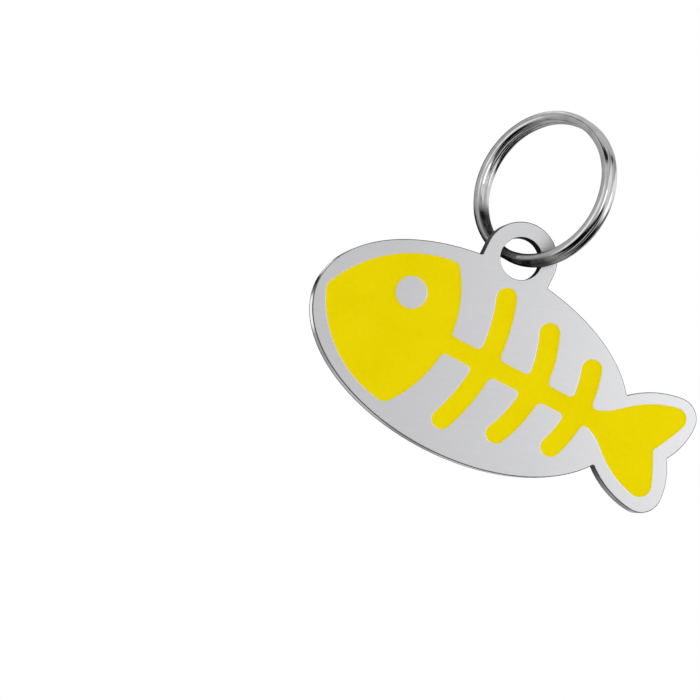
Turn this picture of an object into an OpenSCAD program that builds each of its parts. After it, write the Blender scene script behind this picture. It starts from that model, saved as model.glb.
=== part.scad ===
// A fish-shaped steel identity tag for a pet, hanging from its split ring.
// All sizes are millimetres. Z is up along the hanging line, the fishbone faces -Y, the tail points to +X.
// The origin is the inside of the split ring at its top, where a collar's ring carries it.

/* [Fish plate] */
// Length of the oval body, without the tail
body_l = 31.8; // [28:0.2:40]
// Height of the oval body
body_h = 18.6; // [17:0.1:24]
// Thickness of the steel sheet
plate_t = 1.7; // [1.2:0.1:2]
// How far the tail fin reaches past the oval
tail_l = 5.9; // [5:0.1:9]
// Height of the tail fin over both lobes
tail_span = 11.5; // [10:0.1:14]
// Height of the fin where it grows out of the oval
tail_root_h = 6.5; // [5:0.1:8]
// Depth of that root inside the oval
tail_root_in = 1.6; // [1:0.1:2.5]
// Radius of the round tip of each lobe
lobe_r = 2; // [1.6:0.1:2.6]
// Radius of the curve on the outer side of each lobe
lobe_side_r = 8.8; // [8:0.2:16]
// Radius of the curve at the far end of each lobe
lobe_end_r = 6.8; // [6:0.2:14]
// Depth of the notch between the lobes
notch_d = 1.15; // [0.6:0.05:2]

/* [Hanging eye] */
// Height of the hole's centre over the top of the oval
hole_lift = 1.1; // [0.6:0.1:2]
// How far the hole stands towards the tail from the oval's middle
hole_shift = 0.17; // [0:0.01:1.5]
// Width of the steel rim round the hole
rim_w = 1.46; // [1.1:0.02:2]
// Clearance between the ring's two wires and the hole's wall
hole_clear = 0.06; // [0.05:0.01:0.3]

/* [Split ring] */
// Outer diameter of the split ring
ring_od = 15; // [13:0.5:20]
// Width of the wire along the ring's radius
wire_w = 1; // [0.8:0.05:1.2]
// Thickness of the wire along the ring's axis
wire_t = 0.66; // [0.6:0.02:0.9]
// Gap between the two turns of wire
turn_gap = 0.42; // [0.41:0.01:0.6]
// Angle between the wire in the hole and a line square to the plate, degrees
ring_yaw = 41.5; // [30:0.5:45]
// Place of the cross-over between the turns, degrees round the ring from its lowest point
cross_at = -23.5; // [-30:0.5:-20]
// Half of the cross-over's length, degrees
cross_half = 9.5; // [9:0.5:14]
// How far the tail hangs lower than the head, degrees
hang_tilt = 6; // [0:1:9]

/* [Fishbone] */
// Depth of the coloured filling's pocket
enamel_d = 0.3; // [0.2:0.05:0.4]
// How far the fillings stay below the steel faces
fill_low = 0.04; // [0.02:0.01:0.08]
// Steel between the fish's nose and the coloured head
nose_gap = 0.8; // [0.5:0.05:1.5]
// Steel above and below the highest place of the coloured head
crown_gap = 1.9; // [1.2:0.1:2.5]
// Radius of the head's upper and lower edges
head_r = 11.6; // [11:0.2:16]
// Length of the coloured head
head_l = 12.5; // [11:0.1:14]
// Radius of the gill edge at the back of the head
gill_r = 11.6; // [10:0.2:14]
// Radius of the head's rounded corners
head_round = 0.9; // [0.3:0.05:1.1]
// Radius of the bare steel eye
eye_r = 1.5; // [1:0.05:2]
// Distance of the eye in front of the gill edge
eye_back = 5.1; // [4.5:0.1:6.5]
// Height of the eye over the fish's middle line
eye_up = 2.9; // [2:0.1:3.6]
// Width of the backbone
spine_w = 1.75; // [1.2:0.05:2.2]
// Width of a rib
rib_w = 1.9; // [1.4:0.05:2.2]
// Place of the first rib, from the oval's middle towards the tail
rib_first = 0.25; // [0:0.05:1]
// Distance from one rib to the next
rib_pitch = 5.1; // [4.6:0.05:5.4]
// How far the bones lie over the fish's middle line
bone_up = 0.14; // [0:0.02:0.4]
// Slant of the figure, its top towards the tail, degrees
slant = 2.4; // [0:0.2:5]
// Steel left between the fin's outline and its coloured lobes
fin_gap = 1.15; // [0.7:0.05:1.3]
// Radius of the tip of each coloured lobe
fin_tip_r = 1.1; // [0.7:0.05:1.2]
// Radius of the coloured lobes' outer side
fin_side_r = 9.6; // [9:0.2:16]
// Radius of the coloured lobes' far end
fin_end_r = 24; // [12:0.5:26]
// Depth of the notch between the coloured lobes
fin_notch_d = 1.55; // [1:0.05:2.2]
// Distance of the coloured fin's root from its tips
fin_l = 7.1; // [6.4:0.1:8.6]

/* [Digits on the back] */
// Height of a digit
digit_h = 3.4; // [2.8:0.1:4]
// Width of a digit
digit_w = 1.95; // [1.6:0.05:2.1]
// Distance from one digit to the next
digit_pitch = 2.55; // [2.5:0.05:2.7]
// Width of the engraved line
digit_line = 0.45; // [0.3:0.05:0.5]
// Depth of the engraving
digit_d = 0.25; // [0.15:0.05:0.35]
// Place of the row's middle, from the oval's middle towards the tail
row_mid = 1.15; // [0:0.05:2]
// Distance of the row's foot below the fish's middle line
row_low = 1; // [0.4:0.1:2]
// Rise of the row towards the head, degrees
row_rise = 1.8; // [0:0.2:4]

/* [Hidden] */

// Overrun of every cut past the face that it starts from
cut = 0.5;
// How far a straight facet may stay inside the curve that it stands for
facet_sag = 0.008;
bore_steps = 96;

// The wound wire: stations on each loop and corners of its section
loop_rings = 24;
wire_sides = 6;

// Heights of the ribs' ends as shares of half the oval's height, and each rib's bow as a share of its own height
rib_height_shares = [0.685, 0.57, 0.44];
rib_bow_shares = [0.185, 0.22, 0.17];

// Digits as shares of the line's own width and height.
// Four numbers are a bar from one end to the other, six are a bow: centre, half width, half height, angles.
digit_shares = [
    [[0.5, 0.5, 0.5, 0.5, 0, 360]],
    [[0.5, 0, 0.5, 1], [0.5, 1, 0.12, 0.78]],
    [[0.5, 0.72, 0.5, 0.28, -28, 165], [0.94, 0.59, 0, 0], [0, 0, 1, 0]],
    [[0.44, 0.765, 0.44, 0.235, -90, 150], [0.45, 0.265, 0.55, 0.265, -150, 90]],
    [[0.74, 0, 0.74, 1], [0.74, 1, 0, 0.3], [0, 0.3, 1, 0.3]],
    [[0.92, 1, 0.14, 1], [0.14, 1, 0.06, 0.56], [0.45, 0.32, 0.55, 0.32, -145, 128]],
    [[0.5, 0.3, 0.5, 0.3, 0, 360], [1, 0.32, 1, 0.68, 100, 182]],
    [[0, 1, 1, 1], [1, 1, 0.36, 0]],
    [[0.5, 0.265, 0.5, 0.265, 0, 360], [0.5, 0.765, 0.43, 0.235, 0, 360]],
    [[0.5, 0.7, 0.5, 0.3, 0, 360], [0, 0.68, 1, 0.68, -80, 2]]
];

// Sizes worked out from the ones above
ring_half_w = wire_t + turn_gap / 2;
ring_mid_r = (ring_od - wire_w) / 2;
ring_in_r = ring_od / 2 - wire_w;
hole_r = ring_half_w / cos(ring_yaw) + plate_t / 2 * tan(ring_yaw) + hole_clear;
hole_up = body_h / 2 + hole_lift;
tab_r = hole_r + rim_w;
hang_z = -ring_in_r - ring_mid_r;

// Points of an arc round c, counter-clockwise from one angle to the other, and of a whole oval
function facets(r, turn) = max(3, ceil(turn / (2 * acos(1 - facet_sag / r))));
function arc(c, rx, rz, from, to) =
    let (n = facets(max(rx, rz), to - from))
    [for (i = [0:n]) let (a = from + (to - from) * i / n) [c[0] + rx * cos(a), c[1] + rz * sin(a)]];
function oval(c, rx, rz) = let (pts = arc(c, rx, rz, 0, 360)) [for (i = [1:len(pts) - 1]) pts[i]];
function shifted(pts, by) = [for (p = pts) p + by];
function slanted(pts) = [for (p = pts) [p[0] + p[1] * tan(slant), p[1]]];
function heading(v) = atan2(v[1], v[0]);

// Where two circles cross, on the left of the way from the first centre to the second
function meet(c1, r1, c2, r2) =
    let (d = norm(c2 - c1), along = (r1 * r1 - r2 * r2 + d * d) / (2 * d), u = (c2 - c1) / d)
    c1 + along * u + sqrt(r1 * r1 - along * along) * [-u[1], u[0]];

// An arc from the direction v to the direction w, turning counter-clockwise
function arc_between(c, r, v, w) =
    let (a = heading(v), b = heading(w)) arc(c, r, r, a, b < a ? b + 360 : b);

// Outline of a shape bounded by circles in counter-clockwise order, its corners rounded by circles of radius r
function rounded_by(centres, radii, r) =
    let (
        n = len(centres),
        corners = [for (i = [0:n - 1]) let (k = (i + 1) % n)
            meet(centres[i], radii[i] - r, centres[k], radii[k] - r)]
    )
    [for (i = [0:n - 1]) let (c = centres[i], k = (i + 1) % n, last = corners[(i + n - 1) % n])
        each concat(
            arc_between(c, radii[i], last - c, corners[i] - c),
            arc_between(corners[i], r, corners[i] - c, corners[i] - centres[k])
        )];

// A fin of two lobes: notch on the middle line, round tips, and a root that is closed straight
function fin(notch_x, root, tip, tip_r, end_r, side_r) =
    let (
        notch = [notch_x, 0],
        end_c = meet(notch, end_r, tip, end_r - tip_r),
        side_c = meet(tip, side_r - tip_r, root, side_r),
        upper = concat(
            arc_between(end_c, end_r, notch - end_c, tip - end_c),
            arc_between(tip, tip_r, tip - end_c, tip - side_c),
            arc_between(side_c, side_r, tip - side_c, root - side_c)
        )
    )
    concat(upper, [for (i = [len(upper) - 1:-1:1]) [upper[i][0], -upper[i][1]]]);

// A line of width w along a path, with round ends
function band(path, w) =
    let (
        n = len(path) - 1,
        ways = [for (i = [0:n]) heading(path[min(i + 1, n)] - path[max(i - 1, 0)])],
        right = [for (i = [0:n]) path[i] + w / 2 * [sin(ways[i]), -cos(ways[i])]],
        left = [for (i = [0:n]) path[i] - w / 2 * [sin(ways[i]), -cos(ways[i])]],
        far_cap = arc(path[n], w / 2, w / 2, ways[n] - 90, ways[n] + 90),
        near_cap = arc(path[0], w / 2, w / 2, ways[0] + 90, ways[0] + 270)
    )
    concat([for (i = [0:n - 1]) right[i]], far_cap, [for (i = [n - 1:-1:1]) left[i]],
        [for (i = [0:len(near_cap) - 2]) near_cap[i]]);

// The plate's outline: an oval body, a forked fin and a round eye on top
module fish_outline() {
    tip = [body_l / 2 + tail_l - lobe_r, tail_span / 2 - lobe_r];
    root = [body_l / 2 - tail_root_in, tail_root_h / 2];
    eye = arc([hole_shift, hole_up], tab_r, tab_r, 0, 180);
    polygon(oval([0, 0], body_l / 2, body_h / 2));
    polygon(fin(body_l / 2 + tail_l - notch_d, root, tip, lobe_r, lobe_end_r, lobe_side_r));
    polygon(concat(eye, [[hole_shift - tab_r, 0], [hole_shift + tab_r, 0]]));
}

// The coloured figure: head with a bare eye, backbone, three ribs and a fin, all in one piece
module fishbone_figure() {
    nose_x = nose_gap - body_l / 2;
    drop = head_r - body_h / 2 + crown_gap;
    head_x = nose_x + sqrt(head_r * head_r - drop * drop);
    gill_x = nose_x + head_l;
    head = rounded_by([[gill_x - gill_r, 0], [head_x, -drop], [head_x, drop]],
        [gill_r, head_r, head_r], head_round);
    fin_far = body_l / 2 + tail_l - fin_gap;
    fin_tip = [fin_far - fin_tip_r, tail_span / 2 - fin_gap - fin_tip_r];
    fin_root = [fin_far - fin_l, spine_w / 2];
    difference() {
        polygon(slanted(head));
        translate([gill_x - eye_back, eye_up]) circle(eye_r, $fn = bore_steps);
    }
    polygon(band([[gill_x - spine_w, bone_up], [fin_root[0] + spine_w, bone_up]], spine_w));
    for (i = [0:len(rib_height_shares) - 1]) {
        h = rib_height_shares[i] * body_h / 2;
        bow = rib_bow_shares[i] * h;
        r = (h * h + bow * bow) / (2 * bow);
        c = [rib_first + i * rib_pitch + bow - r, 0];
        polygon(shifted(slanted(band(arc(c, r, r, -asin(h / r), asin(h / r)), rib_w)), [0, bone_up]));
    }
    polygon(shifted(slanted(fin(fin_far - fin_notch_d, fin_root, fin_tip, fin_tip_r, fin_end_r, fin_side_r)),
        [0, bone_up]));
}

// One digit, from the lower left corner of its place
module digit(n) {
    w = digit_w - digit_line;
    h = digit_h - digit_line;
    foot = [1, 1] * digit_line / 2;
    for (s = digit_shares[n]) {
        c = foot + [s[0] * w, s[1] * h];
        if (len(s) == 4)
            polygon(band([c, foot + [s[2] * w, s[3] * h]], digit_line));
        else if (s[5] - s[4] == 360)
            difference() {
                polygon(oval(c, s[2] * w + digit_line / 2, s[3] * h + digit_line / 2));
                polygon(oval(c, s[2] * w - digit_line / 2, s[3] * h - digit_line / 2));
            }
        else
            polygon(band(arc(c, s[2] * w, s[3] * h, s[4], s[5]), digit_line));
    }
}

// The row of digits as the back's outline sees it, so it reads from behind
module digit_row() {
    count = len(digit_shares);
    mirror([1, 0]) translate([-row_mid, -row_low]) rotate(row_rise)
        for (i = [0:count - 1])
            translate([(i - count / 2) * digit_pitch + (digit_pitch - digit_w) / 2, 0]) digit(i);
}

// Stands a flat outline up as a sheet between two depths of the plate
module sheet(y0, y1) {
    translate([0, y1, 0]) rotate([90, 0, 0]) linear_extrude(y1 - y0) children();
}

// Hangs what is drawn on the fish from the ring, by the hole's centre
module hung() {
    translate([0, 0, hang_z]) rotate([0, hang_tilt, 0]) translate([-hole_shift, 0, -hole_up]) children();
}

// Stations of the wire round the ring: two turns side by side, with one cross-over between them.
// The angle counts from the ring's lowest point, and the ends lie on either side of the cross-over.
wire_start = cross_at + cross_half;
wire_turn = 720 - 2 * cross_half;
wire_stations = ceil(wire_turn / 360 * loop_rings);
function ease(x) = let (t = min(1, max(0, x))) t * t * (3 - 2 * t);
function wire_side(a) =
    (ease((a - cross_at - 360 + cross_half) / (2 * cross_half)) - 0.5) * (wire_t + turn_gap);
function wire_ring(a) =
    [for (k = [0:wire_sides - 1]) let (b = 360 * k / wire_sides, r = ring_mid_r + wire_w / 2 * cos(b))
        [r * sin(a), wire_side(a) + wire_t / 2 * sin(b), -r * cos(a)]];
wire_points = [for (i = [0:wire_stations]) each wire_ring(wire_start + wire_turn * i / wire_stations)];

// The least distance between points of the first and the second turn, as the gap of the wire to itself
wire_half = (wire_stations / 2 - 2) * wire_sides;
wire_gap = min([for (i = [0:len(wire_points) - wire_half - 1])
    min([for (k = [i + wire_half:len(wire_points) - 1]) norm(wire_points[i] - wire_points[k])])]);
echo(least_gap_between_the_turns = wire_gap);

module tag_plate() {
    color("gainsboro") hung() difference() {
        sheet(-plate_t / 2, plate_t / 2) fish_outline();
        translate([hole_shift, 0, hole_up]) rotate([90, 0, 0])
            cylinder(r = hole_r, h = plate_t + 2 * cut, center = true, $fn = bore_steps);
        sheet(-plate_t / 2 - cut, enamel_d - plate_t / 2) fishbone_figure();
        sheet(plate_t / 2 - digit_d, plate_t / 2 + cut) digit_row();
    }
}

module fishbone_enamel() {
    color("gold") hung() sheet(fill_low - plate_t / 2, enamel_d - plate_t / 2) fishbone_figure();
}

module engraved_digits() {
    color("black") hung() sheet(plate_t / 2 - digit_d, plate_t / 2 - fill_low) digit_row();
}

module split_ring() {
    n = wire_sides;
    last = wire_stations * n;
    walls = [for (i = [0:wire_stations - 1]) for (k = [0:n - 1]) let (m = (k + 1) % n) each [
        [i * n + k, i * n + m, i * n + n + m], [i * n + k, i * n + n + m, i * n + n + k]]];
    first_cap = [for (k = [1:n - 2]) [0, k + 1, k]];
    last_cap = [for (k = [1:n - 2]) [last, last + k, last + k + 1]];
    color("silver") translate([0, 0, -ring_in_r]) rotate([0, 0, ring_yaw - 90])
        polyhedron(points = wire_points, faces = concat(walls, first_cap, last_cap));
}

tag_plate();
fishbone_enamel();
engraved_digits();
split_ring();
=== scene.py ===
import bpy
import bmesh
import numpy as np
from mathutils import Matrix, Vector
from mathutils.geometry import delaunay_2d_cdt


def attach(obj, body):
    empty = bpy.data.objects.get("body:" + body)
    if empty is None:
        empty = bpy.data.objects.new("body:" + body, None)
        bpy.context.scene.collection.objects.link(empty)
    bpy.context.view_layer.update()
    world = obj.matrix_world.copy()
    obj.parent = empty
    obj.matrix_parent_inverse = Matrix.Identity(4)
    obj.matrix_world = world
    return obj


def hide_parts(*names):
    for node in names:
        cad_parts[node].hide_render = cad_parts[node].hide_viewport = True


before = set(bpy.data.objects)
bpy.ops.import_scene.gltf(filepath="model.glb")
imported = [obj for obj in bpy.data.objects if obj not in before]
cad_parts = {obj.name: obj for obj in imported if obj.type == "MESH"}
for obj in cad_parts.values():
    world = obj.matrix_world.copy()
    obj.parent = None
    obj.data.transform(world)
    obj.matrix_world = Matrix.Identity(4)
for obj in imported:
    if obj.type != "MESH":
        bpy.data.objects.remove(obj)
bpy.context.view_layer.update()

print("frame loaded:", ", ".join(sorted(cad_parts)))

millimetre, perMetre = 0.001, 1000

plate = {
    "length": 31.8, "height": 18.6, "thick": 1.7,  # the oval body
    "tailLength": 5.9, "tailSpan": 11.5, "tailRoot": 6.5, "tailRootIn": 1.6,
    "lobeRadius": 2.0, "lobeSideRadius": 8.8, "lobeEndRadius": 6.8, "notchDeep": 1.15,
    "holeX": 0.17, "holeZ": 10.4, "holeRadius": 1.9736, "rim": 1.46,
    "edgeRound": 0.07, "roundSteps": 6, "guard": 0.07,  # rolled edge, and the flat band beside it
    "boreShare": 0.7, "boreZone": 0.2,  # share of that roll at the hole, and how near to it that holds
    "wallStops": (-0.66, -0.5, -0.2, 0.1, 0.36, 0.52),  # depths of the wall's own rows
    "pitch": 0.085, "margin": 1.0,  # grid that finds outlines, and its room outside
    "offRound": (0.013, 0.017),  # keeps its lines off round numbers
}
hanging = {"tilt": 6.0, "drop": 13.5}  # degrees the tail hangs low; ring top to hole
making = {
    "moves": 3, "leastSlope": 0.2,  # how a point is brought on to its outline
    "boxMargin": 1.0, "samePoint": 1e-6,  # flat layers, in millimetres
    "merge": 1.5e-6, "sliver": 5e-7,  # vertices made one and edges that go, in metres
    "tiny": 1e-9,  # keeps a quotient finite
}


def metres(points):
    # p / 1000
    return np.asarray(points, float) * millimetre


def smooth(low, high, value):
    # t t (3 - 2 t), t = (value - low) / (high - low) held to 0..1
    t = np.clip((value - low) / (high - low), 0, 1)
    return t * t * (3 - 2 * t)


def tiltTurn():
    # the turn about y by the tilt, which lowers the tail
    a = np.radians(hanging["tilt"])
    return np.array([[np.cos(a), 0, np.sin(a)], [0, 1, 0], [-np.sin(a), 0, np.cos(a)]])


def hang(points):
    # Ry(tilt) (p - hole) + (0, 0, -drop), in metres
    moved = (np.asarray(points, float) - [plate["holeX"], 0, plate["holeZ"]]) @ tiltTurn().T
    return metres(moved + [0, 0, -hanging["drop"]])


def unhang(points):
    # hole + Ry(-tilt) (1000 p + (0, 0, drop)), back to millimetres on the plate
    moved = np.asarray(points, float) * perMetre + [0, 0, hanging["drop"]]
    return moved @ tiltTurn() + [plate["holeX"], 0, plate["holeZ"]]


# Flat shapes as fields: millimetres to the edge, negative inside.

def arcPoints(centre, radii, start, end, steps=40):
    # centre + (rx cos a, rz sin a), a from start to end in degrees
    a = np.radians(np.linspace(start, end, steps))
    return np.column_stack([centre[0] + radii[0] * np.cos(a), centre[1] + radii[1] * np.sin(a)])


def circlesMeet(c1, r1, c2, r2):
    # c1 + u (r1^2 - r2^2 + d^2) / 2d + the height over that line, to the left of u
    d = np.linalg.norm(c2 - c1)
    u = (c2 - c1) / d
    along = (r1 * r1 - r2 * r2 + d * d) / (2 * d)
    return c1 + along * u + np.sqrt(r1 * r1 - along * along) * np.array([-u[1], u[0]])


def arcBetween(centre, radius, v, w):
    # the arc counter-clockwise from the direction v to the direction w
    a, b = np.degrees(np.arctan2(v[1], v[0])), np.degrees(np.arctan2(w[1], w[0]))
    return arcPoints(centre, (radius, radius), a, b + 360 if b < a else b)


def roundedBy(centres, radii, corner):
    # arcs of three circles in turn, joined by arcs of radius corner that touch both neighbours
    c, arcs = np.array(centres, float), []
    joins = [circlesMeet(c[i], radii[i] - corner, c[i - 2], radii[i - 2] - corner) for i in range(3)]
    for i in range(3):
        arcs.append(arcBetween(c[i], radii[i], joins[i - 1] - c[i], joins[i] - c[i]))
        arcs.append(arcBetween(joins[i], corner, joins[i] - c[i], joins[i] - c[i - 2]))
    return np.vstack(arcs)


def finOutline(notchX, root, tip, tipRadius, endRadius, sideRadius):
    # end arc, tip arc and side arc of the upper lobe, then the same mirrored in z = 0
    notch, root, tip = np.array([notchX, 0.0]), np.array(root, float), np.array(tip, float)
    endCentre = circlesMeet(notch, endRadius, tip, endRadius - tipRadius)
    sideCentre = circlesMeet(tip, sideRadius - tipRadius, root, sideRadius)
    upper = np.vstack([
        arcBetween(endCentre, endRadius, notch - endCentre, tip - endCentre),
        arcBetween(tip, tipRadius, tip - endCentre, tip - sideCentre),
        arcBetween(sideCentre, sideRadius, tip - sideCentre, root - sideCentre)])
    return np.vstack([upper, (upper * [1, -1])[:0:-1]])


def pathField(x, z, path):
    # least |p - a - t (b - a)| over the path's pieces, t = (p - a).(b - a) / |b - a|^2 held to 0..1
    best = np.full(np.shape(x), np.inf)
    for a, b in zip(path[:-1], path[1:]):
        step = b - a
        if step @ step > making["tiny"] ** 2:
            t = np.clip(((x - a[0]) * step[0] + (z - a[1]) * step[1]) / (step @ step), 0, 1)
            best = np.minimum(best, np.hypot(x - a[0] - t * step[0], z - a[1] - t * step[1]))
    return best


def outlineField(x, z, outline):
    # distance to a closed outline, negative where a line towards +x crosses it an odd number of times
    closed = np.vstack([outline, outline[:1]])
    inside = np.zeros(np.shape(x), bool)
    for a, b in zip(closed[:-1], closed[1:]):
        if a[1] != b[1]:
            beside = x < a[0] + (z - a[1]) * (b[0] - a[0]) / (b[1] - a[1])
            inside ^= ((a[1] > z) != (b[1] > z)) & beside
    return np.where(inside, -1, 1) * pathField(x, z, closed)


def ovalField(x, z, rx, rz):
    # k (k - 1) / |grad k|, with k = |(x / rx, z / rz)|
    k = np.hypot(x / rx, z / rz)
    return k * (k - 1) / np.maximum(np.hypot(x / rx ** 2, z / rz ** 2), making["tiny"])


def blended(a, b, fillet):
    # min(a, b) - fillet h^2 / 4, h = 1 - |a - b| / fillet where that is positive: a union with fillets
    h = np.maximum(fillet - np.abs(a - b), 0) / fillet
    return np.minimum(a, b) - h * h * fillet / 4


def blankField(x, z):
    # oval, tail fin, round eye and the neck under it together
    eyeRadius, middleZ = plate["holeRadius"] + plate["rim"], plate["holeZ"] / 2
    oval = ovalField(x, z, plate["length"] / 2, plate["height"] / 2)
    eye = np.hypot(x - plate["holeX"], z - plate["holeZ"]) - eyeRadius
    neck = np.maximum(np.abs(x - plate["holeX"]) - eyeRadius, np.abs(z - middleZ) - middleZ)
    return np.minimum.reduce([oval, outlineField(x, z, plateFin), eye, neck])


def boreField(x, z):
    # positive in the hole
    return plate["holeRadius"] - np.hypot(x - plate["holeX"], z - plate["holeZ"])


def plateField(x, z):
    # the blank less the hole
    return np.maximum(blankField(x, z), boreField(x, z))


plateFin = finOutline(
    plate["length"] / 2 + plate["tailLength"] - plate["notchDeep"],
    (plate["length"] / 2 - plate["tailRootIn"], plate["tailRoot"] / 2),
    (plate["length"] / 2 + plate["tailLength"] - plate["lobeRadius"],
     plate["tailSpan"] / 2 - plate["lobeRadius"]),
    plate["lobeRadius"], plate["lobeEndRadius"], plate["lobeSideRadius"])


# Outlines, walls and flat layers from the fields.

def slopeOf(field, points, reach=1e-3):
    # ((f(x + e) - f(x - e)) / 2e, (f(z + e) - f(z - e)) / 2e)
    x, z = points.T
    return np.column_stack([field(x + reach, z) - field(x - reach, z),
                            field(x, z + reach) - field(x, z - reach)]) / (2 * reach)


def contourOf(field, low, high, pitch):
    # where the field is 0 on a square grid's lines, moved by -f grad f / |grad f|^2, joined cell by cell
    x, z = (np.arange(low[i], high[i] + pitch, pitch) for i in (0, 1))
    value = field(*np.meshgrid(x, z, indexing="ij"))
    inside = value < 0
    ai, aj = np.nonzero(inside[:-1] != inside[1:])
    bi, bj = np.nonzero(inside[:, :-1] != inside[:, 1:])
    ta = value[ai, aj] / (value[ai, aj] - value[ai + 1, aj])
    tb = value[bi, bj] / (value[bi, bj] - value[bi, bj + 1])
    points = np.vstack([np.column_stack([x[ai] + ta * pitch, z[aj]]),
                        np.column_stack([x[bi], z[bj] + tb * pitch])])
    across, up = np.full((len(x) - 1, len(z)), -1), np.full((len(x), len(z) - 1), -1)
    across[ai, aj] = np.arange(len(ai))
    up[bi, bj] = len(ai) + np.arange(len(bi))
    cells = np.stack([across[:, :-1], up[1:], across[:, 1:], up[:-1]], axis=-1).reshape(-1, 4)
    crossed = (cells >= 0).sum(axis=1)
    pairs, saddles = cells[crossed == 2], cells[crossed == 4]
    segments = np.vstack([np.sort(pairs, axis=1)[:, 2:], saddles[:, :2], saddles[:, 2:]])
    for _ in range(making["moves"]):
        slope = slopeOf(field, points)
        steep = np.maximum((slope ** 2).sum(axis=1), making["leastSlope"])[:, None]
        points = points - field(*points.T)[:, None] * slope / steep
    normals = slopeOf(field, points)
    normals /= np.maximum(np.linalg.norm(normals, axis=1), making["tiny"])[:, None]
    step = points[segments[:, 1]] - points[segments[:, 0]]
    middle = normals[segments].sum(axis=1)
    outside = middle[:, 1] * step[:, 0] - middle[:, 0] * step[:, 1] > 0
    segments[outside] = segments[outside][:, ::-1]  # the shape lies on the left of every segment
    return {"points": points, "segments": segments, "normals": normals}


def insetOf(edge, offset):
    # p - offset * share * normal; the share is 1 where the edge has none of its own
    return {**edge, "points": edge["points"] - offset * edge.get("share", 1.0) * edge["normals"]}


def wallOf(edge, rows, facing=1):
    # the edge moved in by each row's offset, at the row's depth, from front to back; facing 1 looks out of
    # the shape, -1 into it
    count, verts = len(edge["points"]), []
    for offset, depth in rows:
        flat = insetOf(edge, offset)["points"]
        verts.append(np.column_stack([flat[:, 0], np.full(count, depth), flat[:, 1]]))
    p, q = edge["segments"].T
    near = np.arange(len(rows) - 1)[:, None] * count
    quads = np.stack([near + p, near + count + p, near + count + q, near + q], axis=-1).reshape(-1, 4)
    return np.vstack(verts), quads[:, ::facing]


def stretchesOf(faces, lines, count):
    # triangles joined across every side that isn't one of the lines share a number, the least one among them
    asOne = [count, 1]  # makes one number of a side's two vertices
    sides = np.sort(np.stack([faces, np.roll(faces, -1, axis=1)], axis=-1).reshape(-1, 2), axis=1) @ asOne
    owner = np.repeat(np.arange(len(faces)), 3)
    order = np.argsort(sides, kind="stable")
    sides, owner = sides[order], owner[order]
    shared = (sides[1:] == sides[:-1]) & ~np.isin(sides[1:], np.sort(lines, axis=1) @ asOne)
    a, b = owner[:-1][shared], owner[1:][shared]
    number = np.arange(len(faces))
    while (number[a] != number[b]).any():
        np.minimum.at(number, np.maximum(number[a], number[b]), np.minimum(number[a], number[b]))
        while (number != number[number]).any():
            number = number[number]
    return number


def layerOf(edges, keep, depth, facing=-1):
    # a flat triangulation through every edge's points and the corners of a box round them; a stretch between
    # edges stays where keep(x, z) holds for most of its area
    starts = np.cumsum([0] + [len(e["points"]) for e in edges[:-1]])
    segments = np.vstack([e["segments"] + s for e, s in zip(edges, starts)])
    points = np.vstack([e["points"] for e in edges])
    low, high = points.min(axis=0) - making["boxMargin"], points.max(axis=0) + making["boxMargin"]
    points = np.vstack([points, [low, high, [low[0], high[1]], [high[0], low[1]]]])
    made = delaunay_2d_cdt(points.tolist(), segments.tolist(), [], 0, making["samePoint"])
    flat, faces = np.array(made[0], float), np.array(made[2])
    lines = np.array([side for side, source in zip(made[1], made[4]) if source])
    a, b, c = (flat[faces[:, i]] for i in range(3))
    area = (b - a)[:, 0] * (c - a)[:, 1] - (b - a)[:, 1] * (c - a)[:, 0]
    number = stretchesOf(faces, lines, len(flat))
    held = np.bincount(number, area * keep(*((a + b + c) / 3).T), len(faces))
    faces = faces[(held > np.bincount(number, area, len(faces)) / 2)[number]]
    verts = np.column_stack([flat[:, 0], depth(flat[:, 0], flat[:, 1]), flat[:, 1]])
    return verts, faces if facing < 0 else faces[:, ::-1]


def within(field):
    # what layerOf keeps of a shape: f < 0
    return lambda x, z: field(x, z) < 0


def level(y):
    # a layer at one depth
    return lambda x, z: np.full(np.shape(x), y)


def smoothShaded(mesh, sharp):
    # smooth all over, but for the edges where faces meet at more than the angle, in degrees
    mesh.polygons.foreach_set("use_smooth", np.ones(len(mesh.polygons), bool))
    mesh.set_sharp_from_angle(angle=np.radians(sharp))


def keepPaintedShade(mesh, values):
    # a number for each vertex, which the finishes read: painted shade, 1 where the metal is painted dark
    mesh.attributes.new("paintedShade", "FLOAT", "POINT").data.foreach_set("value", values.astype(np.float32))


def standIn(name, mesh, body, nodes):
    # the mesh as the scene's own piece, in place of the CAD nodes and on their body
    piece = bpy.data.objects.new(name, mesh)
    bpy.context.scene.collection.objects.link(piece)
    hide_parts(*nodes)
    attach(piece, body)
    return piece


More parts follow.
